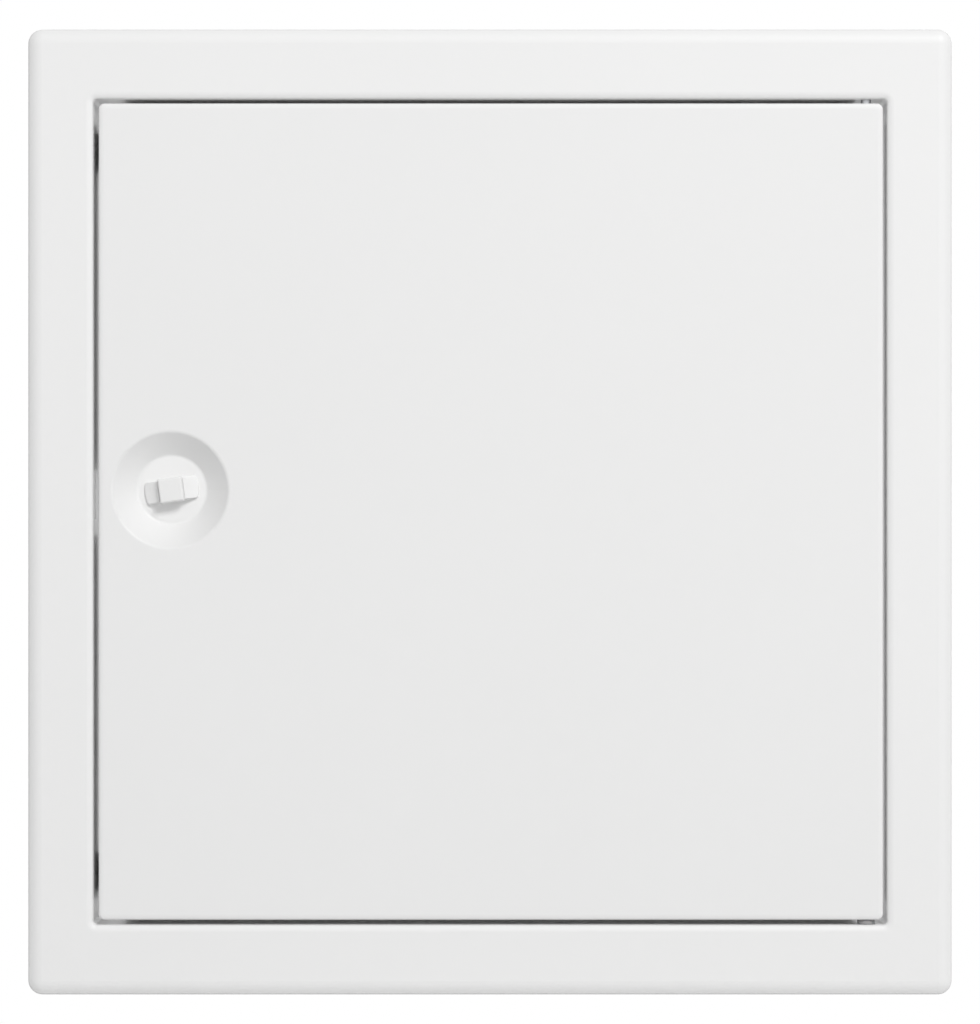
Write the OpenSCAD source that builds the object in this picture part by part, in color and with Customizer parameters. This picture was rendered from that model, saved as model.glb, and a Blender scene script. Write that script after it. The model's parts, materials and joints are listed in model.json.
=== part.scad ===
// Ceiling access panel: a pressed sheet-steel surround with a flush hinged door and a square-key lock.
// Millimetres. X to the right, the front faces -Y, Z up. The origin is the centre of the ceiling
// opening, in the plane of the ceiling's surface.

/* [Surround] */
// Clear width between the collar's side walls
opening_w = 198.6; // [150:0.1:400]
// Clear height between the collar's end walls
opening_h = 206.6; // [180:0.1:400]
// Width of the flange beside the opening, left and right
border_side = 16.3; // [12:0.05:40]
// Width of the flange above and below the opening
border_end = 17.5; // [12:0.05:40]
// Sheet thickness of the surround
frame_sheet = 0.8; // [0.7:0.1:1.2]
// How far the flange stands proud of the ceiling
flange_h = 4.5; // [4:0.1:8]
// Width over which the flange's outer rim is rounded
rim_w = 3.5; // [2.5:0.1:6]
// Slope of the rounded rim where it meets its edge, in degrees
rim_tilt = 35; // [25:1:45]
// Width over which the flange is rounded into the collar
lip_w = 1.75; // [1.5:0.05:3]
// Slope of the rounded lip where it meets its edge, in degrees
lip_tilt = 30; // [20:1:40]
// Inner radius of the sheet's sharp folds
fold_in = 0.05; // [0.05:0.05:0.2]
// Corner radius inside the collar
opening_corner_r = 1; // [0.5:0.1:3]
// Depth of the surround from the flange's face to the collar's rear edge
collar_depth = 34; // [30:0.5:80]

/* [Door] */
// Gap on the lock side of the door
lock_gap = 1.4; // [1:0.1:2.5]
// Gap on the hinge side of the door
hinge_gap = 1; // [0.8:0.1:2]
// Gap above the door
top_gap = 1.1; // [0.8:0.1:2]
// Gap below the door
bottom_gap = 1.3; // [0.8:0.1:2]
// Sheet thickness of the door
door_sheet = 0.6; // [0.5:0.1:1]
// Width over which the door's front edges are rounded
edge_w = 1.4; // [1.3:0.05:2]
// Slope of the rounded door where it meets its edge, in degrees
edge_tilt = 18; // [12:1:30]
// Depth of the shallow rim that runs round the whole door
rim_depth = 2; // [1.9:0.05:2.1]
// Depth of the return flange on the lock side
return_depth = 14; // [9.5:0.1:16]
// Depth of the return flange on the hinge side
hinge_return = 8; // [6:0.1:14]
// Depth of the return flanges along the top and bottom edges
end_return = 20; // [10:0.1:25]
// Length left free of return flange at each end of the top and bottom edges
relief_x = 7.3; // [6.5:0.1:12]
// Length left free of return flange at each end of the side edges
relief_z = 5.9; // [4:0.1:12]

/* [Lock] */
// Distance of the lock's axis from the door's edge
lock_inset = 18; // [17:0.1:40]
// Height of the lock's axis above the middle of the opening
lock_rise = 5.5; // [-20:0.5:20]
// Radius of the pressed dish at the door's face
dish_r = 14.6; // [13:0.1:16]
// Radius of the dish's flat floor
dish_floor_r = 8.75; // [8:0.05:10]
// Depth of the dish
dish_depth = 5; // [4.5:0.1:6]
// Radius of the bends at the dish's rim and floor
dish_bend_r = 1.2; // [1:0.1:1.4]
// Width across the flats of the square key
key_w = 6; // [5:0.1:7]
// Turn of the square key at rest, in degrees
key_turn = 8; // [0:1:45]
// How far the square key's end lies below the door's face
key_sink = 0.5; // [0.2:0.1:1.5]
// Reach of the two ramps beside the square key
ramp_reach = 6.75; // [6:0.05:7]
// Height of the spindle's round foot over the dish floor
foot_h = 0.3; // [0.2:0.1:0.5]
// Height of the ramps over the dish floor, at the square key
ramp_h = 2.9; // [2:0.1:3.5]
// Height of the ramps over the dish floor, at their ends
ramp_end_h = 0.7; // [0.6:0.1:1]
// Chamfer round the square key's end
key_chamfer = 0.3; // [0.1:0.05:0.6]
// Radius of the spindle's journal in the dish floor
journal_r = 4.5; // [4.2:0.1:5]
// Width across the flats of the spindle's square shank, which carries the cam
shank_w = 5.8; // [5.4:0.1:6]
// Thickness of the stop plate
stop_plate_t = 0.6; // [0.5:0.1:1]
// Thickness of the cam
cam_t = 1.5; // [1.2:0.1:2]
// Width of the cam's tongue
cam_w = 9.5; // [8.5:0.1:11]
// Reach of the cam's tip past the inner face of the collar
cam_bite = 1.2; // [0.8:0.1:2]
// Clearance of the cam in the slots that it passes through
cam_clear = 0.4; // [0.3:0.1:0.8]
// Angle that the cam turns from open to latched, in degrees
cam_turn = 90; // [80:1:90]
// Thickness of the washer behind the cam
cam_washer_t = 1; // [0.8:0.1:1.5]
// Radius of the washer behind the cam
cam_washer_r = 6; // [5.5:0.1:8]
// Radius of the cam screw's shank
screw_r = 1.95; // [1.5:0.05:2]
// Radius of the cam screw's head
screw_head_r = 4; // [3.5:0.1:5]
// Height of the cam screw's head
screw_head_h = 2.4; // [2:0.1:3]
// Length of the cam screw's shank
screw_length = 5.5; // [5:0.1:6]

/* [Hinge] */
// Distance of the pivot's axis from the door's edge
pivot_inset = 4; // [3.9:0.1:4.4]
// Depth of the pivot's axis behind the door's face
pivot_depth = 3.3; // [3.2:0.05:3.5]
// Radius of the pivot pins
pin_r = 1.25; // [1:0.05:1.3]
// Radial clearance of the pins in their holes
pin_clear = 0.05; // [0.02:0.01:0.1]
// How far the pins reach through the collar
pin_reach = 1.2; // [0.5:0.1:3]
// Sheet thickness of the hinge brackets
bracket_sheet = 1; // [0.8:0.1:1.2]
// Distance of the outer ear from the door's end
ear_inset = 3; // [2.5:0.1:5]
// Distance between the two ears of a bracket, outside to outside
ear_span = 16; // [15:0.5:25]
// Reach of a bracket's base from the pivot's axis
bracket_reach = 16; // [12:0.5:30]
// Outer radius of the spring that lifts the upper pin
spring_r = 1.9; // [1.7:0.05:1.95]
// Wire diameter of the spring
spring_wire = 0.5; // [0.3:0.05:0.5]
// Turns of the spring
spring_turns = 7; // [4:1:9]
// Thickness of the clip that the spring pushes on
clip_t = 1; // [0.6:0.1:1.5]
// Bend radius of the upper pin's finger grip
grip_bend_r = 2.5; // [2:0.1:4]
// Length of the upper pin's finger grip
grip_length = 12; // [8:0.5:20]
// Outer radius of the nylon washer under the door
washer_r = 2.2; // [2:0.1:3]

/* [Stops] */
// Distance of a door stop's middle from the collar's end wall
stop_inset = 12; // [11.5:0.5:40]
// Width of a door stop
stop_w = 10; // [8:0.5:14]
// Reach of a door stop from the collar
stop_reach = 8; // [6:0.5:12]
// Length of a door stop's foot along the collar
stop_foot = 14; // [12:0.5:16]
// Sheet thickness of the door stops
stop_sheet = 1; // [0.8:0.1:1.5]
// Thickness of the rubber buffers
buffer_t = 2; // [1.5:0.1:4]
// Gap between the closed door and the buffers
buffer_gap = 0.1; // [0.05:0.05:0.5]
// Margin of a buffer inside its bracket's arm
buffer_margin = 0.4; // [0.2:0.1:1]
// Corner radius of the door stops' and anchors' free ends, and of the buffers
strip_corner_r = 1.5; // [0.5:0.1:3]

/* [Fixing] */
// Thickness of the ceiling board that the anchors hold
board_t = 12.5; // [9.5:0.5:16]
// Distance of an anchor's middle from the collar's end wall
anchor_inset = 43.3; // [30:0.1:50]
// Width of an anchor
anchor_w = 15; // [10:0.5:20]
// Reach of an anchor behind the board
anchor_reach = 13.5; // [8:0.5:14]
// Length of an anchor's foot along the collar
anchor_foot = 14; // [12:0.5:16]
// Sheet thickness of the anchors
anchor_sheet = 1; // [0.8:0.1:1.5]
// Distance between the two screw holes in each wall of the collar
fixing_spread = 80; // [60:1:90]
// Radius of the screw holes in the collar
fixing_r = 2.25; // [1.5:0.05:3]
// Distance of the screw holes from the collar's rear edge
fixing_inset = 8; // [6:0.5:12]
// Radius of the rivets' shanks
rivet_r = 1.6; // [1.2:0.1:2]
// Radius of the rivets' heads
rivet_head_r = 3; // [2.5:0.1:4]
// Height of the rivets' heads
rivet_head_h = 1.1; // [0.8:0.1:1.5]

/* [Hidden] */
$fn = 64;

powder_white = "#ebebea";
zinc = "#b9bcc0";
spring_steel = "#8f9499";
rubber_black = "#2a2a2b";
nylon_grey = "#77797b";
lock_white = "#e8e8e7";

// Small clearance between pieces that are fastened together
seat_clear = 0.05;
// Depth by which a cutting tool runs past the wall that it cuts
cut_past = 1;
// Width of the flat that is left at the middle of a rounded corner
corner_flat = 0.1;

// Surround: outer size, and the heights of its front and rear planes over the ceiling
frame_w = opening_w + 2 * border_side;
frame_h = opening_h + 2 * border_end;
rear_z = flange_h - collar_depth;
collar_w = opening_w + 2 * frame_sheet;
collar_h = opening_h + 2 * frame_sheet;

// Door: edges in the plane of the front
door_left = lock_gap - opening_w / 2;
door_right = opening_w / 2 - hinge_gap;
door_top = opening_h / 2 - top_gap;
door_bottom = bottom_gap - opening_h / 2;
door_w = door_right - door_left;
door_h = door_top - door_bottom;
door_middle = [(door_left + door_right) / 2, (door_top + door_bottom) / 2];

// Lock: axis, dish slope and the depths of the stacked pieces
lock_x = door_left + lock_inset;
lock_y = lock_rise;
dish_slope = atan(dish_depth / (dish_r - dish_floor_r));
bend_run = dish_bend_r * tan(dish_slope / 2);
floor_back = dish_depth + door_sheet;
foot_r = dish_floor_r - bend_run - cam_clear;
cam_front = floor_back + stop_plate_t;
cam_back = cam_front + cam_t;
screw_seat = cam_back + cam_washer_t;
cam_tip_r = lock_inset + lock_gap + cam_bite;
stop_tab_w = 3;
stop_tab_t = 1;
stop_plate_rim = 2;
stop_plate_r = dish_floor_r + stop_plate_rim;

// Hinge: axis and the heights of the ears, clip and spring
pivot_x = door_right - pivot_inset;
ear_r = pivot_depth - door_sheet;
pin_hole_r = pin_r + pin_clear;
upper_ear_top = door_top - ear_inset;
upper_ear_low = upper_ear_top - ear_span;
lower_ear_low = door_bottom + ear_inset;
lower_ear_top = lower_ear_low + ear_span;
clip_top = upper_ear_top - bracket_sheet;
spring_top = clip_top - clip_t;
spring_foot = upper_ear_low + bracket_sheet;
pin_top = collar_h / 2 + pin_reach;
grip_level = upper_ear_low - 2 * grip_bend_r;

// Stops and fixing: places along the collar, depth of the stops, and how far back the rivets and
// screw holes sit
stop_y = opening_h / 2 - stop_inset;
anchor_y = opening_h / 2 - anchor_inset;
stop_front = return_depth + buffer_gap + buffer_t;
stop_rivet_z = face(stop_front) - stop_foot / 2 - stop_sheet;
anchor_rivet_z = -board_t - anchor_foot / 2 - anchor_sheet;
fixing_z = rear_z + fixing_inset;
rivet_hole_r = rivet_r + seat_clear;
rivet_tail_r = (rivet_r + rivet_head_r) / 2;

// Height over the ceiling of a point at a given depth behind the front face
function face(depth) = flange_h - depth;

// How far to one side a disc of radius r reaches, on a line at distance x from its centre
function half_chord(r, x) = sqrt(r * r - x * x);

// Stands the panel up: it is drawn lying on its back, with its front upwards
module upright() {
    rotate([90, 0, 0]) children();
}

// Extrudes a section drawn in width and height along the panel's length, from y to y + length
module along_y(y, length) {
    translate([0, y + length, 0]) rotate([90, 0, 0]) linear_extrude(length) children();
}

// A quarter of a flat ring, turned to start at an angle
module quarter_ring(r_in, r_out, start) {
    rotate(start) intersection() {
        difference() {
            circle(r_out);
            if (r_in > 0) circle(r_in);
        }
        square(r_out);
    }
}

// A rectangle with rounded corners
module round_rectangle(w, h, r) {
    square([w - 2 * r, h], center = true);
    square([w, h - 2 * r], center = true);
    for (x = [-1, 1], y = [-1, 1])
        translate([x * (w / 2 - r), y * (h / 2 - r)]) circle(r);
}

// Sweeps a section round a rectangle with rounded corners; the section's x = 0 follows the outline
module sweep_round(w, h, r) {
    for (turn = [0:3]) {
        across = turn % 2 == 0 ? w : h;
        run = (turn % 2 == 0 ? h : w) - 2 * r;
        corner_x = across / 2 - r;
        rotate(90 * turn) {
            translate([across / 2, 0, 0]) along_y(-run / 2, run) children();
            translate([corner_x, run / 2, 0]) rotate_extrude(angle = 90) translate([r, 0]) children();
        }
    }
}

// An angle section with a bend of twice its thickness; the outer corner is at the origin
module angle_section(arm, foot, sheet) {
    bend = 2 * sheet;
    translate([bend, 0]) square([arm - bend, sheet]);
    translate([0, bend]) square([sheet, foot - bend]);
    translate([bend, bend]) quarter_ring(bend - sheet, bend, 180);
}

// What rounding takes off a square corner: the corner is at the origin, the piece at +X and +Y
module corner_off(r, h) {
    translate([-cut_past, -cut_past, -cut_past]) difference() {
        cube([r + cut_past, r + cut_past, h + 2 * cut_past]);
        translate([r + cut_past, r + cut_past, 0]) cylinder(r = r, h = h + 2 * cut_past);
    }
}

// A bent strip with rounded free ends and a rivet hole: its foot stands on the wall x = 0 and runs
// down from z = 0, where its arm goes out along X
module bent_strip(arm, foot, sheet, w, hole_z) {
    difference() {
        along_y(-w / 2, w) mirror([0, 1]) angle_section(arm, foot, sheet);
        for (side = [0, 1]) mirror([0, side, 0]) {
            translate([arm, -w / 2, -sheet]) rotate(90) corner_off(strip_corner_r, sheet);
            translate([0, -w / 2, -foot]) multmatrix([[0, 0, 1, 0], [1, 0, 0, 0], [0, 1, 0, 0]])
                corner_off(strip_corner_r, sheet);
        }
        translate([-cut_past, 0, hole_z]) rotate([0, 90, 0])
            cylinder(r = rivet_hole_r, h = sheet + 2 * cut_past);
    }
}

// A blind rivet along +X, its domed head's flat side at the origin and its grip behind
module rivet(grip) {
    dome_r = (rivet_head_r * rivet_head_r + rivet_head_h * rivet_head_h) / (2 * rivet_head_h);
    rotate([0, 90, 0]) {
        rotate_extrude() intersection() {
            translate([0, rivet_head_h - dome_r]) circle(dome_r);
            square([rivet_head_r, rivet_head_h]);
        }
        translate([0, 0, -grip]) cylinder(r = rivet_r, h = grip);
        translate([0, 0, -grip - rivet_head_h]) cylinder(r = rivet_tail_r, h = rivet_head_h);
    }
}

// Radius of the gentle curve of a fold that is w wide and ends at a slope of tilt in a sharp bend
function crown_r(w, tilt, bend) = (w - bend * (1 - sin(tilt))) / sin(tilt);

// Everything under a fold's surface: a gentle curve about crown_c, a sharp bend about bend_c, and a
// wall down to the depth
module fold_fill(crown_c, bend_c, crown, bend, tilt, depth) {
    reach = 2 * crown;
    translate(crown_c) intersection() {
        circle(crown);
        polygon([[0, 0], reach * [sin(tilt), cos(tilt)], [-reach, reach]]);
    }
    translate(bend_c) circle(bend);
    translate([crown_c.x - cut_past, -depth])
        square([bend_c.x + bend - crown_c.x + cut_past, depth + bend_c.y]);
}

// Section of a fold: a flat face at height 0 curves down over the width w, then turns sharply into a
// wall, which goes down to the depth and whose outer face is at x = 0
module fold_section(w, tilt, sheet, depth) {
    bend = sheet + fold_in;
    crown = crown_r(w, tilt, bend);
    crown_c = [-w, -crown];
    bend_c = crown_c + (crown - bend) * [sin(tilt), cos(tilt)];
    intersection() {
        difference() {
            fold_fill(crown_c, bend_c, crown, bend, tilt, depth + cut_past);
            fold_fill(crown_c, bend_c, crown - sheet, bend - sheet, tilt, depth + 2 * cut_past);
        }
        translate([-w, -depth]) square([w + cut_past, depth + cut_past]);
    }
}

// Section of the flange's rounded outer rim, with its skirt down to the ceiling
module rim_section() {
    translate([0, flange_h]) fold_section(rim_w, rim_tilt, frame_sheet, flange_h);
}

// Section of the rounded lip from the flange into the collar, and of the collar itself
module collar_section() {
    translate([-frame_sheet, flange_h]) mirror([1, 0])
        fold_section(lip_w, lip_tilt, frame_sheet, collar_depth);
}

// Holes through a side wall of the collar; side is -1 on the left and 1 on the right
module side_hole(side, y, z, r) {
    translate([side * (opening_w / 2 - cut_past), y, z])
        rotate([0, side * 90, 0]) cylinder(r = r, h = frame_sheet + 2 * cut_past);
}

// Holes through an end wall of the collar; end is -1 at the bottom and 1 at the top
module end_hole(end, x, z, r) {
    translate([x, end * (opening_h / 2 - cut_past), z])
        rotate([-end * 90, 0, 0]) cylinder(r = r, h = frame_sheet + 2 * cut_past);
}

// Slot that the cam's tongue passes through in a wall at distance wall_x from the lock's axis
module cam_slot(x, wall_x, sheet, back) {
    low = half_chord(cam_tip_r, wall_x) + cam_clear;
    high = cam_w / 2 + cam_clear;
    translate([x - sheet - cut_past, lock_y - low, face(back)])
        cube([sheet + 2 * cut_past, low + high, back - cam_front + cam_clear]);
}

// The pressed frame: flange with a rolled rim, bent into a collar that lines the ceiling opening
module surround_frame() {
    color(powder_white) upright() difference() {
        union() {
            sweep_round(frame_w, frame_h, rim_w + corner_flat) rim_section();
            sweep_round(collar_w, collar_h, opening_corner_r + frame_sheet) collar_section();
            translate([0, 0, flange_h - frame_sheet]) linear_extrude(frame_sheet) difference() {
                round_rectangle(frame_w - 2 * rim_w, frame_h - 2 * rim_w, corner_flat);
                round_rectangle(opening_w + 2 * lip_w, opening_h + 2 * lip_w, opening_corner_r + lip_w);
            }
        }
        for (end = [-1, 1]) {
            end_hole(end, pivot_x, face(pivot_depth), pin_hole_r);
            for (x = [-1, 1]) end_hole(end, x * fixing_spread / 2, fixing_z, fixing_r);
        }
        for (side = [-1, 1], y = [-1, 1]) {
            side_hole(side, y * fixing_spread / 2, fixing_z, fixing_r);
            side_hole(side, y * anchor_y, anchor_rivet_z, rivet_hole_r);
        }
        for (y = [-1, 1]) side_hole(-1, y * stop_y, stop_rivet_z, rivet_hole_r);
        cam_slot(-opening_w / 2, lock_inset + lock_gap, frame_sheet, cam_back + cam_clear);
    }
}

// A bent strip riveted to the outside of the collar, which grips the ceiling board from behind
module anchor(side, end) {
    color(zinc) upright() mirror([side < 0 ? 1 : 0, 0, 0])
        translate([collar_w / 2, end * anchor_y, -board_t])
            bent_strip(anchor_reach, anchor_foot, anchor_sheet, anchor_w, anchor_rivet_z + board_t);
}

module anchor_upper_left() { anchor(-1, 1); }
module anchor_upper_right() { anchor(1, 1); }
module anchor_lower_left() { anchor(-1, -1); }
module anchor_lower_right() { anchor(1, -1); }

// The rivets that hold the anchors, with their heads inside the collar
module anchor_rivets() {
    color(zinc) upright() for (side = [0, 1], y = [-1, 1])
        mirror([side, 0, 0]) translate([-opening_w / 2, y * anchor_y, anchor_rivet_z])
            rivet(frame_sheet + anchor_sheet);
}

// An angle bracket on the lock side of the collar, with its arm behind the door's return flange
module stop_bracket(end) {
    color(zinc) upright() translate([-opening_w / 2, end * stop_y, face(stop_front)])
        bent_strip(stop_reach, stop_foot, stop_sheet, stop_w, stop_rivet_z - face(stop_front));
}

module stop_bracket_upper() { stop_bracket(1); }
module stop_bracket_lower() { stop_bracket(-1); }

// A rubber pad on the arm of a stop bracket, just behind the closed door's return flange
module stop_buffer(end) {
    pad_start = lock_gap - buffer_margin;
    pad_end = stop_reach - buffer_margin;
    pad_w = stop_w - 2 * buffer_margin;
    color(rubber_black) upright()
        translate([(pad_start + pad_end - opening_w) / 2, end * stop_y, face(stop_front)])
            linear_extrude(buffer_t) round_rectangle(pad_end - pad_start, pad_w, strip_corner_r);
}

module stop_buffer_upper() { stop_buffer(1); }
module stop_buffer_lower() { stop_buffer(-1); }

// The rivets that hold the stop brackets
module stop_rivets() {
    color(zinc) upright() for (y = [-1, 1])
        translate([stop_sheet - opening_w / 2, y * stop_y, stop_rivet_z])
            rivet(frame_sheet + stop_sheet);
}

// The nylon washer on the lower pin, in the gap between the collar and the door
module pivot_washer() {
    color(nylon_grey) upright() along_y(-opening_h / 2, bottom_gap - 2 * seat_clear)
        translate([pivot_x, face(pivot_depth)]) difference() {
            circle(washer_r);
            circle(pin_hole_r);
        }
}

// Section of the door's rounded front edge and shallow rim
module door_rim_section() {
    translate([0, flange_h]) fold_section(edge_w, edge_tilt, door_sheet, rim_depth);
}

// Everything under one face of the pressed dish: a flat floor, a bend about floor_c, a sloping wall
// and a bend about rim_c, down to the depth
module dish_fill(rim_c, floor_c, rim_bend, floor_bend, depth) {
    outward = [cos(90 + dish_slope), sin(90 + dish_slope)];
    floor_level = floor_c.y - floor_bend;
    difference() {
        polygon([
            [0, -depth],
            [0, floor_level],
            [floor_c.x, floor_level],
            floor_c - floor_bend * outward,
            rim_c + rim_bend * outward,
            rim_c,
            [rim_c.x, -depth]
        ]);
        translate(floor_c) circle(floor_bend);
    }
    translate(rim_c) circle(rim_bend);
}

// Section of the pressed dish from its hole to the edge of its rim bend, with the door's face at 0
module dish_section() {
    rim_c = [dish_r + bend_run, -dish_bend_r];
    floor_c = [dish_floor_r - bend_run, dish_bend_r - dish_depth];
    hole_r = journal_r + pin_clear;
    depth = floor_back + cut_past;
    intersection() {
        difference() {
            dish_fill(rim_c, floor_c, dish_bend_r, dish_bend_r, depth);
            dish_fill(rim_c, floor_c, dish_bend_r - door_sheet, dish_bend_r + door_sheet, depth + cut_past);
        }
        translate([hole_r, -depth]) square([rim_c.x - hole_r, depth + cut_past]);
    }
}

// The four return flanges behind the door's rim, which stop short of the corners
module return_flanges() {
    length_x = opening_w - 2 * relief_x;
    length_y = opening_h - 2 * relief_z;
    translate([door_left, -length_y / 2, face(return_depth)])
        cube([door_sheet, length_y, return_depth - rim_depth]);
    translate([door_right - door_sheet, -length_y / 2, face(hinge_return)])
        cube([door_sheet, length_y, hinge_return - rim_depth]);
    for (y = [door_bottom, door_top - door_sheet])
        translate([-length_x / 2, y, face(end_return)])
            cube([length_x, door_sheet, end_return - rim_depth]);
}

// The pressed door: flat face, rounded edges, return flanges and the dish for the lock
module door_panel() {
    color(powder_white) upright() difference() {
        union() {
            translate(door_middle) sweep_round(door_w, door_h, edge_w + corner_flat) door_rim_section();
            translate([0, 0, face(door_sheet)]) linear_extrude(door_sheet) difference() {
                translate(door_middle)
                    round_rectangle(door_w - 2 * edge_w, door_h - 2 * edge_w, corner_flat);
                translate([lock_x, lock_y]) circle(dish_r + bend_run);
            }
            translate([lock_x, lock_y, flange_h]) rotate_extrude() dish_section();
            return_flanges();
        }
        cam_slot(door_left + door_sheet, lock_inset - door_sheet, door_sheet, return_depth + cut_past);
    }
}

// One ear of a hinge bracket, drawn in width and height, with its rounded end about the pin
module ear_outline() {
    difference() {
        union() {
            translate([pivot_x - bracket_reach, face(pivot_depth) - ear_r])
                square([bracket_reach, 2 * ear_r]);
            translate([pivot_x, face(pivot_depth)]) circle(ear_r);
        }
        translate([pivot_x, face(pivot_depth)]) circle(pin_hole_r);
    }
}

// A bracket welded to the back of the door: a base beside the pin, and two ears that carry it
module hinge_bracket(low) {
    base_end = pivot_x - spring_r - cut_past;
    color(zinc) upright() {
        along_y(low, bracket_sheet) ear_outline();
        along_y(low + ear_span - bracket_sheet, bracket_sheet) ear_outline();
        translate([pivot_x - bracket_reach, low, face(door_sheet + bracket_sheet)])
            cube([base_end - pivot_x + bracket_reach, ear_span, bracket_sheet]);
    }
}

module hinge_bracket_upper() { hinge_bracket(upper_ear_low); }
module hinge_bracket_lower() { hinge_bracket(lower_ear_low); }

// A pin along +Y from low to high, with a chamfered tip at the high end
module pin(low, high) {
    chamfer = 0.4;
    rotate([-90, 0, 0]) {
        translate([0, 0, low]) cylinder(r = pin_r, h = high - low - chamfer);
        translate([0, 0, high - chamfer]) cylinder(r1 = pin_r, r2 = pin_r - chamfer, h = chamfer);
    }
}

// The fixed pin at the door's lower corner, with its head inside the bracket
module lower_pivot_pin() {
    head_h = 1;
    color(zinc) upright() translate([pivot_x, 0, face(pivot_depth)]) mirror([0, 1, 0]) {
        pin(-lower_ear_top, pin_top);
        translate([0, -lower_ear_top, 0]) rotate([90, 0, 0]) cylinder(r = spring_r, h = head_h);
    }
}

// The sprung pin at the door's upper corner, bent at its lower end into a finger grip
module upper_pivot_pin() {
    bend_end = grip_level + grip_bend_r;
    color(zinc) upright() translate([pivot_x, 0, face(pivot_depth)]) {
        pin(bend_end, pin_top);
        translate([-grip_bend_r, bend_end, 0]) rotate(-90)
            rotate_extrude(angle = 90) translate([grip_bend_r, 0]) circle(pin_r);
        translate([-grip_bend_r - grip_length, grip_level, 0])
            rotate([0, 90, 0]) cylinder(r = pin_r, h = grip_length);
    }
}

// The clip on the upper pin, between the spring and the bracket's outer ear
module pivot_clip() {
    color(spring_steel) upright() along_y(spring_top, clip_t)
        translate([pivot_x, face(pivot_depth)]) difference() {
            circle(spring_r);
            circle(pin_hole_r);
        }
}

// The coil spring round the upper pin: a round wire swept along a helix
module pivot_spring() {
    sides = 8;
    steps_per_turn = 14;
    rings = spring_turns * steps_per_turn;
    wire_r = spring_wire / 2;
    mean_r = spring_r - wire_r;
    rise = spring_top - spring_foot - spring_wire;
    points = [
        for (ring = [0:rings], side = [0:sides - 1])
            let (turn = 360 * ring / steps_per_turn, around = 360 * side / sides)
            let (r = mean_r + wire_r * cos(around))
            [r * cos(turn), r * sin(turn), wire_r + rise * ring / rings + wire_r * sin(around)]
    ];
    walls = [
        for (ring = [0:rings - 1], side = [0:sides - 1])
            let (next = (side + 1) % sides, here = ring * sides, above = (ring + 1) * sides)
            [here + side, above + side, above + next, here + next]
    ];
    first_cap = [for (side = [0:sides - 1]) side];
    last_cap = [for (side = [0:sides - 1]) rings * sides + sides - 1 - side];
    color(spring_steel) upright() translate([pivot_x, spring_foot, face(pivot_depth)])
        rotate([-90, 0, 0]) polyhedron(points, concat([first_cap], walls, [last_cap]), convexity = 8);
}

// The plate behind the dish, with two bent tabs that stop the cam at each end of its turn
module lock_stop_plate() {
    tab_gap = cam_w / 2 + seat_clear;
    tab_end = half_chord(stop_plate_r, tab_gap + stop_tab_t) - cam_clear;
    color(zinc) upright() translate([lock_x, lock_y, face(cam_front)]) {
        linear_extrude(stop_plate_t) difference() {
            circle(stop_plate_r);
            circle(journal_r + pin_clear);
        }
        translate([tab_gap, -tab_end, -cam_t])
            cube([stop_tab_t, stop_tab_w, cam_t]);
        rotate(-cam_turn) translate([-tab_gap - stop_tab_t, -tab_end, -cam_t])
            cube([stop_tab_t, stop_tab_w, cam_t]);
    }
}

// Side view of the square key, with its end chamfered
module key_side(low, high) {
    half = key_w / 2;
    polygon([[-half, low], [half, low], [half, high - key_chamfer], [half - key_chamfer, high],
        [key_chamfer - half, high], [-half, high - key_chamfer]]);
}

// Side view of the two ramps that run up from the spindle's foot to the square key
module ramp_side() {
    ramp_top = key_w / 2 + seat_clear;
    polygon([[-ramp_reach, 0], [ramp_reach, 0], [ramp_reach, ramp_end_h], [ramp_top, ramp_h],
        [-ramp_top, ramp_h], [-ramp_reach, ramp_end_h]]);
}

// The spindle: a square key between two ramps on a round foot, a journal in the dish floor and a
// square shank behind
module lock_spindle() {
    ramp_w = key_w - 2 * key_chamfer;
    hole_depth = screw_length - cam_washer_t + cut_past;
    color(lock_white) upright() translate([lock_x, lock_y, 0]) difference() {
        union() {
            rotate(key_turn) {
                intersection_for (turn = [0, 90]) rotate(turn)
                    along_y(-key_w / 2, key_w) key_side(face(dish_depth), face(key_sink));
                intersection() {
                    translate([0, 0, face(dish_depth)]) along_y(-ramp_w / 2, ramp_w) ramp_side();
                    translate([0, 0, face(dish_depth)]) cylinder(r = ramp_reach, h = ramp_h);
                }
            }
            translate([0, 0, face(dish_depth)]) cylinder(r = foot_r, h = foot_h);
            translate([0, 0, face(cam_front)]) cylinder(r = journal_r, h = cam_front - dish_depth);
            translate([0, 0, face(cam_back)]) linear_extrude(cam_t) square(shank_w, center = true);
        }
        translate([0, 0, face(cam_back) - cut_past])
            cylinder(r = screw_r + seat_clear, h = hole_depth + cut_past);
    }
}

// The cam: a round hub and a tongue with a rounded tip, pointing down when the lock is open
module lock_cam() {
    hub_r = shank_w / sqrt(2) + stop_tab_w;
    color(zinc) upright() translate([lock_x, lock_y, face(cam_back)]) linear_extrude(cam_t) difference() {
        union() {
            circle(hub_r);
            intersection() {
                translate([-cam_w / 2, -cam_tip_r]) square([cam_w, cam_tip_r]);
                circle(cam_tip_r);
            }
        }
        square(shank_w + 2 * seat_clear, center = true);
    }
}

// The plain washer between the cam and its screw
module lock_washer() {
    color(zinc) upright() translate([lock_x, lock_y, face(screw_seat)])
        linear_extrude(cam_washer_t) difference() {
            circle(cam_washer_r);
            circle(screw_r + seat_clear);
        }
}

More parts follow.
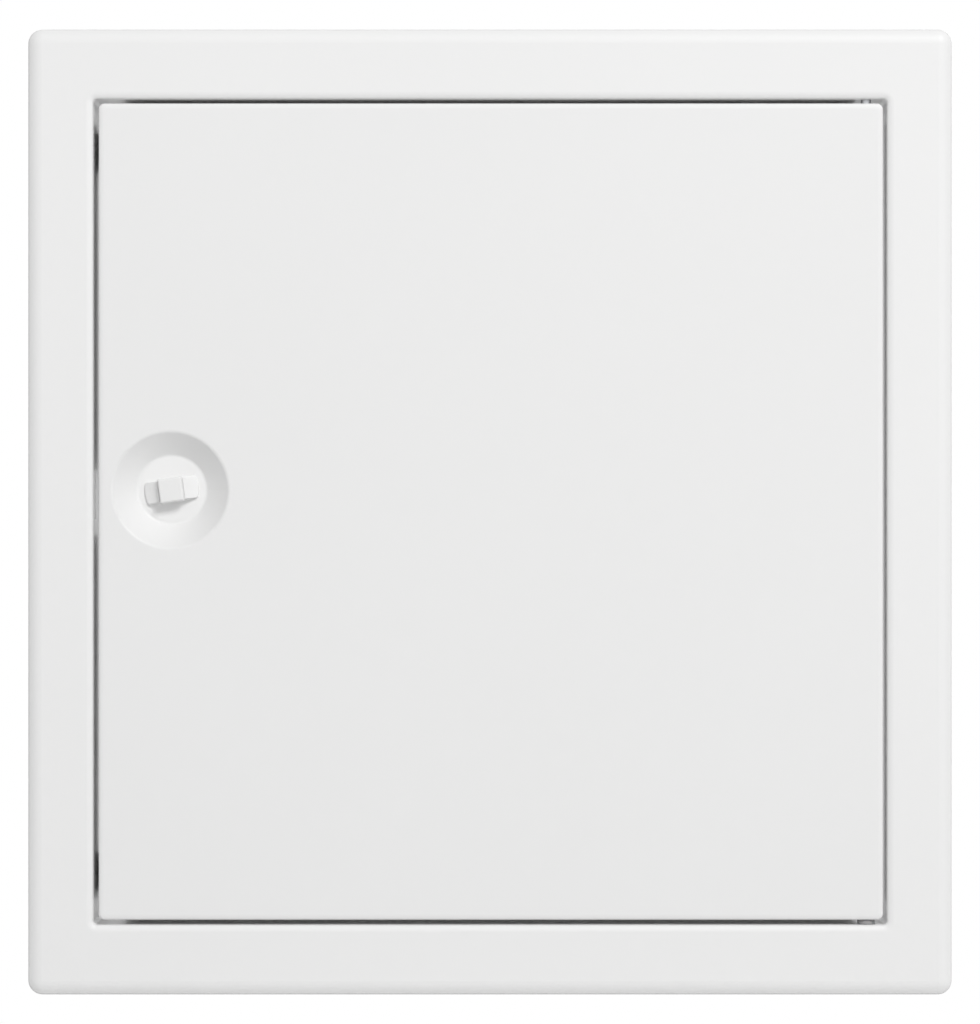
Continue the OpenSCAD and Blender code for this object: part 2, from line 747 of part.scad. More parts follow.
// The pan-head screw that holds the cam on the spindle, with a cross recess
module lock_screw() {
    head_round = 0.8;
    recess_w = 1;
    recess_l = screw_head_r + recess_w / 2;
    recess_depth = screw_head_h / 2;
    color(zinc) upright() translate([lock_x, lock_y, face(screw_seat)]) difference() {
        union() {
            cylinder(r = screw_r, h = screw_length);
            translate([0, 0, head_round - screw_head_h])
                cylinder(r = screw_head_r, h = screw_head_h - head_round);
            translate([0, 0, -screw_head_h])
                cylinder(r1 = screw_head_r - head_round, r2 = screw_head_r, h = head_round);
        }
        for (turn = [0, 90]) rotate(turn)
            translate([-recess_l / 2, -recess_w / 2, -screw_head_h - cut_past])
                cube([recess_l, recess_w, recess_depth + cut_past]);
    }
}

surround_frame();
anchor_upper_left();
anchor_upper_right();
anchor_lower_left();
anchor_lower_right();
anchor_rivets();
stop_bracket_upper();
stop_bracket_lower();
stop_buffer_upper();
stop_buffer_lower();
stop_rivets();
pivot_washer();
door_panel();
hinge_bracket_upper();
hinge_bracket_lower();
lower_pivot_pin();
upper_pivot_pin();
pivot_clip();
pivot_spring();
lock_stop_plate();
lock_spindle();
lock_cam();
lock_washer();
lock_screw();
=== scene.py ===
"""Looks of a ceiling access panel: white powder-coated shells, a moulded lock and zinc-plated fittings.

Everything is in metres, in the panel's own frame: X to the right, the front faces -Y, Z up.
"""

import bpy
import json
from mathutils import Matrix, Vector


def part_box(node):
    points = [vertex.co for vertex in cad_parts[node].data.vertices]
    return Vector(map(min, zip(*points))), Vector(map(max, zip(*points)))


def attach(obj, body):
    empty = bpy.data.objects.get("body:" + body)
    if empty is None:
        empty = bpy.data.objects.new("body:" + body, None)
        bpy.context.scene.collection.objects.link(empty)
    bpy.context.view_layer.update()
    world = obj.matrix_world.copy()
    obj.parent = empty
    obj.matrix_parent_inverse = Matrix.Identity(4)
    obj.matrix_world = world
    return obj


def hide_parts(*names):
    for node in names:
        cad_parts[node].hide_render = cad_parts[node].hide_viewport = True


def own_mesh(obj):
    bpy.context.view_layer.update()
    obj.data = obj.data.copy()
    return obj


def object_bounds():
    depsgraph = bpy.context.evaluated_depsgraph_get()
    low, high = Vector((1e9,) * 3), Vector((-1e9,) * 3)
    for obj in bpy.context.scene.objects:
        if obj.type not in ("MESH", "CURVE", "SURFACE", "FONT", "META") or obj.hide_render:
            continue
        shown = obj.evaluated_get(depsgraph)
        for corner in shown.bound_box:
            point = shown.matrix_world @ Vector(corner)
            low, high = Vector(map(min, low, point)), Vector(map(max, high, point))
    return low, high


bl_info = {
    "name": "Access panel looks",
    "version": (1, 0, 0),
    "blender": (4, 5, 0),
    "location": "3D View > Sidebar > Access panel",
    "description": "Dresses a ceiling access panel and sets its studio",
    "category": "Object",
}

import json
import math

import bmesh
import bpy
from mathutils import Matrix, Vector

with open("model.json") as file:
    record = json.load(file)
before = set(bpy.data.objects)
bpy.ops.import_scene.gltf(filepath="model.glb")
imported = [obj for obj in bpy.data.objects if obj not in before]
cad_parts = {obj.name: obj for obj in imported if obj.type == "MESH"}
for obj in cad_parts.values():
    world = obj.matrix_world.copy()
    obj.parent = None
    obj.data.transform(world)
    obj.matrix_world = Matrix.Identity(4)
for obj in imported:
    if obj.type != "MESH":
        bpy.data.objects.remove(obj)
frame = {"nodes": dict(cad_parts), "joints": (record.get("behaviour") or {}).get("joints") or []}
CAD_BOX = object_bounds()

MM = 0.001

# Cleaning of a copied node: points closer than this are one, faces flatter than this are one face,
# and edges sharper than this are rounded
MERGE_DISTANCE = 0.001 * MM
FLAT_ANGLE = 0.4
SHARP_ANGLE = 28.0

# Smooth shading: edges sharper than this stay sharp, on a new piece and on one whose edges are rounded
CREASE_ANGLE = 35.0
EASED_CREASE_ANGLE = 60.0

# Steps across a rounded edge of sheet, of a moulding and of rubber
SHEET_STEPS = 2
MOULDED_STEPS = 3
RUBBER_STEPS = 4

# Steps round a turned piece, round the spring's wire and round the floor
TURNED_STEPS = 40
WIRE_STEPS = 12
FLOOR_STEPS = 96

# The photograph's width in pixels, and the camera's sensor width in millimetres
IMAGE_W = 980
SENSOR_W = 36.0

# Where the two lamps stand, seen from the panel's middle
KEY_TOWARDS = Vector((0.35, -0.78, 0.54)).normalized()
BACK_TOWARDS = Vector((0.0, 1.0, 0.0))

# The floor's paint as light finds it and as the camera sees it, and the shares of its radius
# between which it fades
FLOOR_PAINT = 0.78
FLOOR_SHOWN = 0.97
FADE_START = 0.45
FADE_END = 0.95

# Fine lines in rolled, drawn and turned metal, as lines in a metre along X, Y and Z
SHEET_GRAIN = (1800.0, 1800.0, 60.0)
PIN_GRAIN = (900.0, 900.0, 60.0)
SCREW_GRAIN = (900.0, 60.0, 900.0)
RIVET_GRAIN = (500.0, 500.0, 500.0)

# Coil spring on the upper pin
SPRING_WIRE = 0.5 * MM
SPRING_TURNS = 7
SPRING_STEPS = 28

# Foot of the lock spindle: width of its rim, and how thick the rim is
FOOT_RIM = 0.2 * MM
FOOT_FEATHER = 0.05 * MM

# Spot welds on a hinge bracket: its sheet, the welds' places along its base, and a mark's profile as
# distance from the face and radius
BRACKET_SHEET = 1.0 * MM
WELD_SHARES = (0.2, 0.52)
WELD_PROFILE = [
    (0.02 * MM, 0.0), (0.03 * MM, 1.0 * MM), (0.09 * MM, 1.5 * MM),
    (0.07 * MM, 1.8 * MM), (-0.05 * MM, 2.1 * MM), (-0.05 * MM, 0.0),
]

# A blind rivet from its set tail to its domed head, as distance from the tail's end and radius
RIVET_HEAD_R = 3.0 * MM
RIVET_PROFILE = [
    (0.1 * MM, 0.0), (0.1 * MM, 0.7 * MM), (0.0, 0.9 * MM), (0.1 * MM, 1.9 * MM), (0.5 * MM, 2.3 * MM),
    (0.9 * MM, 2.2 * MM), (1.1 * MM, 1.7 * MM), (1.1 * MM, 1.6 * MM), (2.9 * MM, 1.6 * MM),
    (2.9 * MM, 2.95 * MM), (3.0 * MM, RIVET_HEAD_R), (3.2 * MM, 2.93 * MM), (3.5 * MM, 2.55 * MM),
    (3.8 * MM, 1.9 * MM), (3.95 * MM, 1.3 * MM), (3.95 * MM, 1.0 * MM), (3.8 * MM, 0.92 * MM),
    (3.3 * MM, 0.9 * MM), (3.35 * MM, 0.6 * MM), (3.45 * MM, 0.3 * MM), (3.4 * MM, 0.0),
]


def frame_joint(name):
    """One joint of the frame by its name."""
    return next(joint for joint in frame["joints"] if joint["name"] == name)


class Value:
    """A shader socket that takes part in Python arithmetic; each operation adds one Math node."""

    def __init__(self, sheet, socket):
        self.sheet = sheet
        self.socket = socket

    def _math(self, operation, first, second):
        made = self.sheet.add("ShaderNodeMath", {"operation": operation}, {0: first, 1: second})
        return made.out(0)

    def __add__(self, other):
        return self._math("ADD", self, other)

    def __radd__(self, other):
        return self._math("ADD", other, self)

    def __sub__(self, other):
        return self._math("SUBTRACT", self, other)

    def __rsub__(self, other):
        return self._math("SUBTRACT", other, self)

    def __mul__(self, other):
        return self._math("MULTIPLY", self, other)

    def __rmul__(self, other):
        return self._math("MULTIPLY", other, self)

    def __truediv__(self, other):
        return self._math("DIVIDE", self, other)

    def __pow__(self, other):
        return self._math("POWER", self, other)

    def at_most(self, other):
        """The smaller of two values."""
        return self._math("MINIMUM", self, other)

    def at_least(self, other):
        """The larger of two values."""
        return self._math("MAXIMUM", self, other)

    def ramp(self, low, high):
        """A smooth step from 0 at low to 1 at high."""
        made = self.sheet.add(
            "ShaderNodeMapRange",
            {"interpolation_type": "SMOOTHSTEP"},
            {"Value": self, "From Min": low, "From Max": high},
        )
        return made.out(0)


class Made:
    """A node that was added to a sheet."""

    def __init__(self, sheet, node):
        self.sheet = sheet
        self.node = node

    def out(self, name):
        """One of its outputs, by name or number."""
        return Value(self.sheet, self.node.outputs[name])


class Sheet:
    """The node tree of a material or of the world, cleared and ready to be filled."""

    def __init__(self, owner):
        owner.use_nodes = True
        self.tree = owner.node_tree
        self.tree.nodes.clear()

    def add(self, kind, settings=None, inputs=None):
        """Adds a node of a kind, sets its settings, then its sockets' values or links."""
        node = self.tree.nodes.new(kind)
        for name, value in (settings or {}).items():
            setattr(node, name, value)
        for name, value in (inputs or {}).items():
            if isinstance(value, Value):
                self.tree.links.new(value.socket, node.inputs[name])
            else:
                node.inputs[name].default_value = value
        return Made(self, node)

    def place(self):
        """Object coordinates, in metres in the panel's frame."""
        return self.add("ShaderNodeTexCoord").out("Object")

    def stretched(self, place, scale):
        """Coordinates scaled along each axis, for a grain that runs one way."""
        return self.add("ShaderNodeMapping", None, {"Vector": place, "Scale": scale}).out(0)

    def noise(self, place, per_metre, detail=2.0, roughness=0.5):
        """Noise of about per_metre blobs in a metre, from 0 to 1."""
        sockets = {"Vector": place, "Scale": per_metre, "Detail": detail, "Roughness": roughness}
        return self.add("ShaderNodeTexNoise", None, sockets).out(0)

    def mix(self, factor, first, second):
        """A colour between two colours."""
        made = self.add("ShaderNodeMix", {"data_type": "RGBA"}, {0: factor, 6: first, 7: second})
        return made.out(2)

    def bump(self, height, depth, strength=1.0):
        """Normals of a relief whose height runs from 0 to depth metres."""
        sockets = {"Height": height, "Distance": depth, "Strength": strength}
        return self.add("ShaderNodeBump", None, sockets).out(0)

    def surface(self, sockets):
        """Ends the sheet in one principled surface."""
        shader = self.add("ShaderNodeBsdfPrincipled", None, sockets)
        self.add("ShaderNodeOutputMaterial", None, {"Surface": shader.out(0)})


def new_material(name):
    """A material of that name with an empty sheet; one that was made before is filled again."""
    material = bpy.data.materials.get(name) or bpy.data.materials.new(name)
    return material, Sheet(material)


def grey(level, alpha=1.0):
    """A neutral colour."""
    return (level, level, level, alpha)


def tinted(colour, level=1.0):
    """A colour property as a socket's value, made lighter or darker."""
    return (colour[0] * level, colour[1] * level, colour[2] * level, 1.0)


def powder_coat(name, colour, roughness):
    """Satin white powder coat: a fine orange peel, faint clouding and a gloss that varies a little."""
    material, sheet = new_material(name)
    place = sheet.place()
    peel = sheet.noise(place, per_metre=650.0, detail=3.0, roughness=0.55)
    swell = sheet.noise(place, per_metre=120.0, detail=1.0)
    cloud = sheet.noise(place, per_metre=14.0, detail=3.0)
    sheet.surface({
        "Base Color": sheet.mix(cloud, tinted(colour, 0.992), tinted(colour, 1.006)),
        "Roughness": roughness - 0.03 + cloud * 0.06,
        "Specular IOR Level": 0.4,
        "Normal": sheet.bump(peel * 0.6 + swell * 0.4, depth=0.012 * MM, strength=0.6),
    })
    return material


def lock_moulding(looks):
    """White moulded plastic with a fine eroded texture."""
    material, sheet = new_material("lock_moulding")
    place = sheet.place()
    grain = sheet.noise(place, per_metre=2600.0, detail=2.0, roughness=0.6)
    cloud = sheet.noise(place, per_metre=90.0)
    sheet.surface({
        "Base Color": sheet.mix(cloud, tinted(looks.lock_colour, 0.985), tinted(looks.lock_colour, 1.01)),
        "Roughness": 0.34 + grain * 0.12,
        "Specular IOR Level": 0.45,
        "Normal": sheet.bump(grain, depth=0.008 * MM, strength=0.5),
    })
    return material


def zinc_plate(looks):
    """Bright zinc plate over rolled sheet: fine rolling lines, faint cloudy spangle."""
    material, sheet = new_material("zinc_plated_sheet")
    place = sheet.place()
    spangle = sheet.noise(place, per_metre=260.0, detail=3.0, roughness=0.6)
    rolling = sheet.noise(sheet.stretched(place, SHEET_GRAIN), per_metre=1.0)
    shade = (spangle * 0.7 + rolling * 0.3).ramp(0.3, 0.75)
    sheet.surface({
        "Base Color": sheet.mix(shade, tinted(looks.zinc_colour, 0.84), tinted(looks.zinc_colour, 1.06)),
        "Metallic": 1.0,
        "Roughness": 0.3 + spangle * 0.16,
        "Normal": sheet.bump(rolling, depth=0.006 * MM, strength=0.5),
    })
    return material


def drawn_metal(name, colour, roughness, grain):
    """Metal drawn through a die or turned: grain lines along one axis."""
    material, sheet = new_material(name)
    place = sheet.place()
    lines = sheet.noise(sheet.stretched(place, grain), per_metre=1.0, detail=3.0, roughness=0.6)
    stain = sheet.noise(place, per_metre=180.0)
    sheet.surface({
        "Base Color": sheet.mix(stain, tinted(colour, 0.86), tinted(colour, 1.05)),
        "Metallic": 1.0,
        "Roughness": roughness + lines * 0.14,
        "Normal": sheet.bump(lines, depth=0.005 * MM, strength=0.5),
    })
    return material


def weld_mark():
    """Zinc that a spot weld has burnt: grey in the middle, with a brownish ring."""
    material, sheet = new_material("spot_weld")
    place = sheet.place()
    patch = sheet.noise(place, per_metre=900.0, detail=3.0, roughness=0.6).ramp(0.35, 0.7)
    sheet.surface({
        "Base Color": sheet.mix(patch, (0.3, 0.29, 0.28, 1.0), (0.5, 0.47, 0.42, 1.0)),
        "Metallic": 0.85,
        "Roughness": 0.42 + patch * 0.2,
        "Normal": sheet.bump(patch, depth=0.03 * MM, strength=0.6),
    })
    return material


def rubber(looks):
    """Matt black rubber with a dusty bloom."""
    material, sheet = new_material("buffer_rubber")
    place = sheet.place()
    grain = sheet.noise(place, per_metre=1500.0, detail=3.0, roughness=0.6)
    bloom = sheet.noise(place, per_metre=220.0, detail=3.0).ramp(0.45, 0.75)
    sheet.surface({
        "Base Color": sheet.mix(bloom, tinted(looks.rubber_colour), tinted(looks.rubber_colour, 1.9)),
        "Roughness": 0.68 + grain * 0.16,
        "Normal": sheet.bump(grain, depth=0.02 * MM, strength=0.6),
    })
    return material


def nylon(looks):
    """Grey nylon, a little waxy."""
    material, sheet = new_material("washer_nylon")
    place = sheet.place()
    cloud = sheet.noise(place, per_metre=400.0)
    sheet.surface({
        "Base Color": sheet.mix(cloud, tinted(looks.nylon_colour, 0.95), tinted(looks.nylon_colour, 1.03)),
        "Roughness": 0.42 + cloud * 0.12,
        "Subsurface Weight": 0.1,
        "Subsurface Scale": 1.0 * MM,
    })
    return material


def dress(material, *nodes):
    """Gives fixed nodes a material in place of the plain one."""
    for name in nodes:
        mesh = frame["nodes"][name].data
        mesh.materials.clear()
        mesh.materials.append(material)


def add_piece(name, shape, material, body, replaced=(), crease=CREASE_ANGLE):
    """Makes a finished bmesh a smooth-shaded piece that rides on a body."""
    mesh = bpy.data.meshes.new(name)
    shape.to_mesh(mesh)
    shape.free()
    mesh.polygons.foreach_set("use_smooth", [True] * len(mesh.polygons))
    mesh.set_sharp_from_angle(angle=math.radians(crease))
    mesh.materials.append(material)
    piece = bpy.data.objects.new(name, mesh)
    bpy.context.collection.objects.link(piece)
    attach(piece, body)
    if replaced:
        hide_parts(*replaced)
    return piece


def cleaned_copy(node):
    """A bmesh of a node with its doubled points merged and its flat faces made whole."""
    shape = bmesh.new()
    shape.from_mesh(frame["nodes"][node].data)
    bmesh.ops.remove_doubles(shape, verts=shape.verts, dist=MERGE_DISTANCE)
    bmesh.ops.dissolve_limit(
        shape, angle_limit=math.radians(FLAT_ANGLE), verts=shape.verts, edges=shape.edges)
    return shape


def sharp_edges(shape):
    """The edges whose two faces meet at more than the sharp angle."""
    return [edge for edge in shape.edges if edge.calc_face_angle(0.0) > math.radians(SHARP_ANGLE)]


def ease_edges(node, width, steps, material, body, shape=None, edges=None):
    """Replaces a node by a copy of it whose sharp edges are rounded, as a tumbled or moulded part's are."""
    shape = shape or cleaned_copy(node)
    bmesh.ops.bevel(
        shape, geom=edges or sharp_edges(shape), offset=width, segments=steps, profile=0.5,
        material=-1, affect="EDGES", clamp_overlap=False)
    piece = add_piece(node + "_eased", shape, material, body, (node,), EASED_CREASE_ANGLE)
    normals = piece.modifiers.new("flat faces", "WEIGHTED_NORMAL")
    normals.keep_sharp = True
    return piece


def turned(profile):
    """A solid turned about X from a profile of (x, radius) points that starts and ends on the axis."""
    shape = bmesh.new()
    points = [shape.verts.new((x, 0.0, radius)) for x, radius in profile]
    edges = [shape.edges.new(pair) for pair in zip(points, points[1:])]
    bmesh.ops.spin(
        shape, geom=points + edges, cent=(0.0, 0.0, 0.0), axis=(1.0, 0.0, 0.0),
        angle=2.0 * math.pi, steps=TURNED_STEPS, use_merge=True)
    bmesh.ops.remove_doubles(shape, verts=shape.verts, dist=MERGE_DISTANCE)
    bmesh.ops.recalc_face_normals(shape, faces=shape.faces)
    return shape


def joined(shapes):
    """One bmesh from several, each with the matrix that places it."""
    whole = bmesh.new()
    for shape, matrix in shapes:
        part = bpy.data.meshes.new("part")
        shape.transform(matrix)
        shape.to_mesh(part)
        shape.free()
        whole.from_mesh(part)
        bpy.data.meshes.remove(part)
    bmesh.ops.recalc_face_normals(whole, faces=whole.faces)
    return whole


class PanelLooks(bpy.types.PropertyGroup):
    """Colours and finishes of the panel."""

    surround_colour: bpy.props.FloatVectorProperty(
        name="Surround", description="Colour of the surround's powder coat",
        subtype="COLOR", default=(0.815, 0.815, 0.813), min=0.0, max=1.0)
    door_colour: bpy.props.FloatVectorProperty(
        name="Door", description="Colour of the door's powder coat",
        subtype="COLOR", default=(0.8, 0.8, 0.798), min=0.0, max=1.0)
    powder_roughness: bpy.props.FloatProperty(
        name="Powder coat roughness", description="How matt the powder coat is",
        subtype="FACTOR", default=0.45, min=0.0, max=1.0)
    lock_colour: bpy.props.FloatVectorProperty(
        name="Lock", description="Colour of the moulded lock spindle",
        subtype="COLOR", default=(0.8, 0.8, 0.797), min=0.0, max=1.0)
    zinc_colour: bpy.props.FloatVectorProperty(
        name="Zinc plate", description="Colour of the plated sheet fittings",
        subtype="COLOR", default=(0.68, 0.7, 0.72), min=0.0, max=1.0)
    steel_colour: bpy.props.FloatVectorProperty(
        name="Bright steel", description="Colour of the pins and the screw",
        subtype="COLOR", default=(0.54, 0.55, 0.57), min=0.0, max=1.0)
    spring_colour: bpy.props.FloatVectorProperty(
        name="Spring steel", description="Colour of the spring and its clip",
        subtype="COLOR", default=(0.42, 0.43, 0.45), min=0.0, max=1.0)
    rivet_colour: bpy.props.FloatVectorProperty(
        name="Rivets", description="Colour of the blind rivets",
        subtype="COLOR", default=(0.76, 0.77, 0.78), min=0.0, max=1.0)
    rubber_colour: bpy.props.FloatVectorProperty(
        name="Rubber", description="Colour of the door buffers",
        subtype="COLOR", default=(0.018, 0.018, 0.019), min=0.0, max=1.0)
    nylon_colour: bpy.props.FloatVectorProperty(
        name="Nylon", description="Colour of the washer under the door",
        subtype="COLOR", default=(0.3, 0.3, 0.305), min=0.0, max=1.0)
    sheet_edge: bpy.props.FloatProperty(
        name="Sheet edge", description="Width of the rounding along the fittings' edges",
        unit="LENGTH", default=0.12 * MM, min=0.0, precision=5)
    moulded_edge: bpy.props.FloatProperty(
        name="Moulded edge", description="Width of the rounding along the moulded pieces' edges",
        unit="LENGTH", default=0.2 * MM, min=0.0, precision=5)
    rubber_edge: bpy.props.FloatProperty(
        name="Rubber edge", description="Width of the rounding along the buffers' edges",
        unit="LENGTH", default=0.4 * MM, min=0.0, precision=5)


class StageSettings(bpy.types.PropertyGroup):
    """Camera and light."""

    camera_distance: bpy.props.FloatProperty(
        name="Camera distance", description="From the camera to the panel's face",
        unit="LENGTH", default=1.0, min=0.3)
    pixel_size: bpy.props.FloatProperty(
        name="Pixel size", description="Width of one image pixel at the panel's face",
        unit="LENGTH", default=0.25 * MM, precision=6)
    ambient: bpy.props.FloatProperty(
        name="Ambient", description="Strength of the even light from in front and behind",
        default=0.7, min=0.0)
    side_dim: bpy.props.FloatProperty(
        name="Side dimming", description="Share of that light that is missing beside the panel",
        subtype="FACTOR", default=0.95, min=0.0, max=1.0)
    back_dim: bpy.props.FloatProperty(
        name="Back dimming", description="Share of that light that is missing behind the panel",
        subtype="FACTOR", default=0.15, min=0.0, max=1.0)
    key_power: bpy.props.FloatProperty(
        name="Key power", description="Power of the soft box at the upper right",
        unit="POWER", default=33.4, min=0.0)
    key_size: bpy.props.FloatProperty(
        name="Key size", description="Width of the soft box", unit="LENGTH", default=0.6, min=0.05)
    key_distance: bpy.props.FloatProperty(
        name="Key distance", description="From the soft box to the panel",
        unit="LENGTH", default=2.5, min=0.2)
    back_power: bpy.props.FloatProperty(
        name="Back power", description="Power of the distant soft box behind the panel",
        unit="POWER", default=60.0, min=0.0)
    back_size: bpy.props.FloatProperty(
        name="Back size", description="Width of the soft box behind the panel",
        unit="LENGTH", default=0.6, min=0.05)
    back_distance: bpy.props.FloatProperty(
        name="Back distance", description="From the soft box behind to the panel",
        unit="LENGTH", default=5.0, min=0.2)
    floor_drop: bpy.props.FloatProperty(
        name="Floor drop", description="Height of the panel's lower edge over the floor",
        unit="LENGTH", default=0.06, min=0.0)
    floor_radius: bpy.props.FloatProperty(
        name="Floor radius", description="Radius of the round floor", unit="LENGTH", default=0.4, min=0.1)


class PANEL_OT_shells(bpy.types.Operator):
    """Coats the surround and the door in white powder"""

    bl_idname = "access_panel.shells"
    bl_label = "Surround and door"

    def execute(self, context):
        looks = context.scene.panel_looks
        surround = powder_coat("powder_coat_surround", looks.surround_colour, looks.powder_roughness)
        door = powder_coat("powder_coat_door", looks.door_colour, looks.powder_roughness)
        dress(surround, "surround_frame")
        dress(door, "door_panel")
        return {"FINISHED"}


class PANEL_OT_lock(bpy.types.Operator):
    """Finishes the lock: moulded spindle, plated cam, stop plate, washer and screw"""

    bl_idname = "access_panel.lock"
    bl_label = "Lock"

    def execute(self, context):
        looks = context.scene.panel_looks
        plate = zinc_plate(looks)
        steel = drawn_metal("screw_steel", looks.steel_colour, roughness=0.24, grain=SCREW_GRAIN)
        self.spindle(looks)
        ease_edges("lock_cam", looks.sheet_edge, SHEET_STEPS, plate, "lock")
        ease_edges("lock_washer", looks.sheet_edge, SHEET_STEPS, plate, "lock")
        ease_edges("lock_screw", looks.sheet_edge, SHEET_STEPS, steel, "lock")
        ease_edges("lock_stop_plate", looks.sheet_edge, SHEET_STEPS, plate, "door")
        return {"FINISHED"}

    def spindle(self, looks):
        """The moulded spindle, whose foot thins to a feather edge on the dish floor."""
        shape = cleaned_copy("lock_spindle")
        low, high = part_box("lock_spindle")
        axis_x = (low.x + high.x) / 2.0
        axis_z = (low.z + high.z) / 2.0
        foot_r = (high.x - low.x) / 2.0
        rim = [
            vert for vert in shape.verts
            if math.hypot(vert.co.x - axis_x, vert.co.z - axis_z) > foot_r - FOOT_RIM]
        foot_top = min(vert.co.y for vert in rim)
        foot_face = max(vert.co.y for vert in rim)
        for vert in shape.verts:
            if abs(vert.co.y - foot_top) < MERGE_DISTANCE:
                vert.co.y = foot_face - FOOT_FEATHER
        on_rim = set(rim)
        edges = [edge for edge in sharp_edges(shape) if not on_rim.issuperset(edge.verts)]
        ease_edges(
            "lock_spindle", looks.moulded_edge, MOULDED_STEPS, lock_moulding(looks), "lock",
            shape, edges)


class PANEL_OT_hinge(bpy.types.Operator):
    """Finishes the hinge: brackets with their spot welds, pins, clip, coil spring and nylon washer"""

    bl_idname = "access_panel.hinge"
    bl_label = "Hinge"

    def execute(self, context):
        looks = context.scene.panel_looks
        plate = zinc_plate(looks)
        wire = drawn_metal("spring_wire", looks.spring_colour, roughness=0.3, grain=PIN_GRAIN)
        for node in ("hinge_bracket_upper", "hinge_bracket_lower"):
            ease_edges(node, looks.sheet_edge, SHEET_STEPS, plate, "door")
        pin = drawn_metal("pin_steel", looks.steel_colour, roughness=0.24, grain=PIN_GRAIN)
        dress(pin, "lower_pivot_pin", "upper_pivot_pin")
        ease_edges("pivot_clip", looks.sheet_edge, SHEET_STEPS, wire, "upper_pin")
        ease_edges("pivot_washer", looks.moulded_edge, MOULDED_STEPS, nylon(looks), "frame")
        self.spring(wire)
        self.welds()
        return {"FINISHED"}

    def spring(self, wire):
        """A round wire wound on a helix."""
        low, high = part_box("pivot_spring")
        middle = (low + high) / 2.0
        wire_r = SPRING_WIRE / 2.0
        mean_r = (high.x - low.x) / 2.0 - wire_r
        steps = SPRING_TURNS * SPRING_STEPS
        rise = (high.z - low.z - SPRING_WIRE) / steps
        shape = bmesh.new()
        upright = Matrix.Rotation(math.radians(90.0), 4, "X")
        start = Matrix.Translation((middle.x + mean_r, middle.y, low.z + wire_r)) @ upright
        ring = bmesh.ops.create_circle(shape, radius=wire_r, segments=WIRE_STEPS, matrix=start)["verts"]
        bmesh.ops.spin(
            shape, geom=ring + list(shape.edges), cent=middle, axis=(0.0, 0.0, 1.0),
            dvec=(0.0, 0.0, rise), angle=2.0 * math.pi * SPRING_TURNS, steps=steps)
        ends = [edge for edge in shape.edges if edge.is_boundary]
        bmesh.ops.holes_fill(shape, edges=ends, sides=0)
        bmesh.ops.recalc_face_normals(shape, faces=shape.faces)
        piece = add_piece("pivot_spring_coil", shape, wire, "door", ("pivot_spring",))
        travel = frame_joint("pin_draw")["range_m"][1]
        keep = 1.0 - travel / (high.z - low.z)
        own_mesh(piece)

    def welds(self):
        """The shallow round marks that spot welding leaves on the bases of the brackets."""
        shapes = []
        outwards = Matrix.Rotation(math.radians(90.0), 4, "Z")
        for node in ("hinge_bracket_upper", "hinge_bracket_lower"):
            low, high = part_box(node)
            face = low.y + BRACKET_SHEET
            for share in WELD_SHARES:
                x = low.x + share * (high.x - low.x)
                place = Matrix.Translation((x, face, (low.z + high.z) / 2.0))
                shapes.append((turned(WELD_PROFILE), place @ outwards))
        add_piece("bracket_spot_welds", joined(shapes), weld_mark(), "door")


class PANEL_OT_fixings(bpy.types.Operator):
    """Finishes what is fastened to the collar: anchors, door stops, rubber buffers and blind rivets"""

    bl_idname = "access_panel.fixings"
    bl_label = "Fixings"

    def execute(self, context):
        looks = context.scene.panel_looks
        plate = zinc_plate(looks)
        black = rubber(looks)
        for end in ("upper", "lower"):
            for side in ("left", "right"):
                anchor = f"anchor_{end}_{side}"
                ease_edges(anchor, looks.sheet_edge, SHEET_STEPS, plate, "frame")
            ease_edges(f"stop_bracket_{end}", looks.sheet_edge, SHEET_STEPS, plate, "frame")
            ease_edges(f"stop_buffer_{end}", looks.rubber_edge, RUBBER_STEPS, black, "frame")
        metal = drawn_metal("rivet_aluminium", looks.rivet_colour, roughness=0.34, grain=RIVET_GRAIN)
        for node, sides in (("anchor_rivets", (-1.0, 1.0)), ("stop_rivets", (-1.0,))):
            self.rivets(node, sides, metal)
        return {"FINISHED"}

    def rivets(self, node, sides, metal):
        """Blind rivets: a domed head inside the collar, the broken mandrel in its hole, and a set tail."""
        low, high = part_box(node)
        shapes = []
        for side in sides:
            outside = high.x if side > 0.0 else low.x
            for z in (low.z + RIVET_HEAD_R, high.z - RIVET_HEAD_R):
                place = Matrix.Translation((outside, (low.y + high.y) / 2.0, z))
                inwards = Matrix.Rotation(math.radians(90.0 + 90.0 * side), 4, "Z")
                shapes.append((turned(RIVET_PROFILE), place @ inwards))
        add_piece(node + "_blind", joined(shapes), metal, "frame", (node,))


